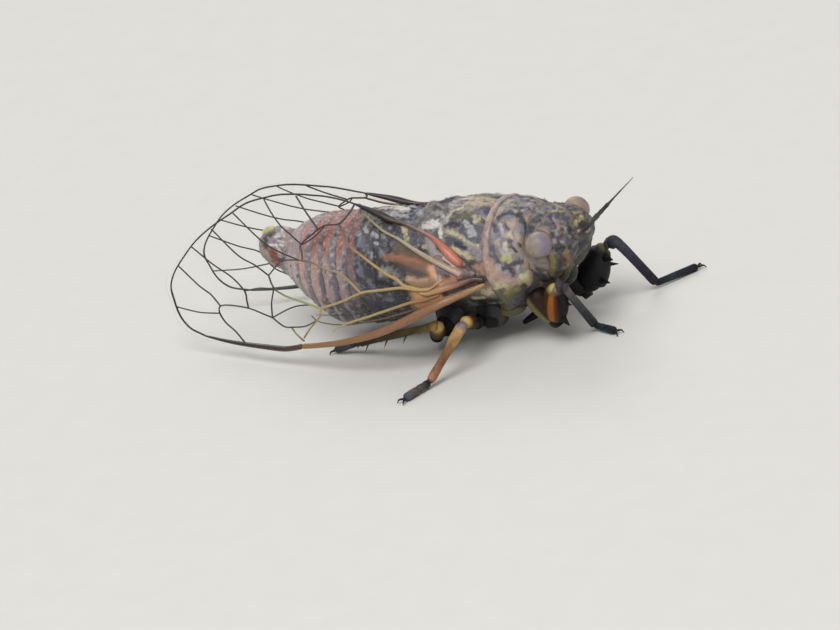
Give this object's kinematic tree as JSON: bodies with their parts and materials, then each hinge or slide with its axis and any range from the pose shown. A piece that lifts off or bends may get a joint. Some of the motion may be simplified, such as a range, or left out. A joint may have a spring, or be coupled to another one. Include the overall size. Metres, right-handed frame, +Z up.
{
  "type": "cicada",
  "caption": "Small cicada at rest on six legs, clear veined wings folded roof-like over a banded abdomen.",
  "frame": {"origin": "the point of the floor under the middle of the model's bounding box; the feet stand on the floor at z = 0", "axes": "+X towards the front of the head, +Y towards the animal's left, +Z up"},
  "size_m": [0.0234, 0.0144, 0.0072],
  "materials": {
    "black_cuticle": "black insect cuticle, thinly powdered with silver hairs",
    "tan_cuticle": "pinkish tan insect cuticle with a dark pattern",
    "banded_cuticle": "grey-lilac insect cuticle with salmon-red hind margins",
    "lilac_cuticle": "pale lilac insect cuticle",
    "eye": "tan-pink compound eye",
    "wing": "clear wing membrane with orange to dark veins",
    "leg": "orange and pale yellow insect cuticle with black edges",
    "dark_leg": "grey-black insect cuticle"
  },
  "bodies": {
    "root": {"abdomen": "banded_cuticle", "antenna_left": "dark_leg", "antenna_right": "dark_leg", "coxa_fore_left": "black_cuticle", "coxa_fore_right": "black_cuticle", "coxa_hind_left": "black_cuticle", "coxa_hind_right": "black_cuticle", "coxa_mid_left": "black_cuticle", "coxa_mid_right": "black_cuticle", "eye_left": "eye", "eye_right": "eye", "face": "black_cuticle", "femur_fore_left": "leg", "femur_fore_right": "leg", "femur_hind_left": "leg", "femur_hind_right": "leg", "femur_mid_left": "leg", "femur_mid_right": "leg", "forewing_left": "wing", "forewing_right": "wing", "head": "black_cuticle", "hindwing_left": "wing", "hindwing_right": "wing", "mesothorax": "black_cuticle", "pronotum": "tan_cuticle", "pygofer": "lilac_cuticle", "rostrum": "dark_leg", "tarsus_fore_left": "dark_leg", "tarsus_fore_right": "dark_leg", "tarsus_hind_left": "dark_leg", "tarsus_hind_right": "dark_leg", "tarsus_mid_left": "dark_leg", "tarsus_mid_right": "dark_leg", "tibia_fore_left": "leg", "tibia_fore_right": "leg", "tibia_hind_left": "leg", "tibia_hind_right": "leg", "tibia_mid_left": "leg", "tibia_mid_right": "leg"}
  },
  "joints": []
}
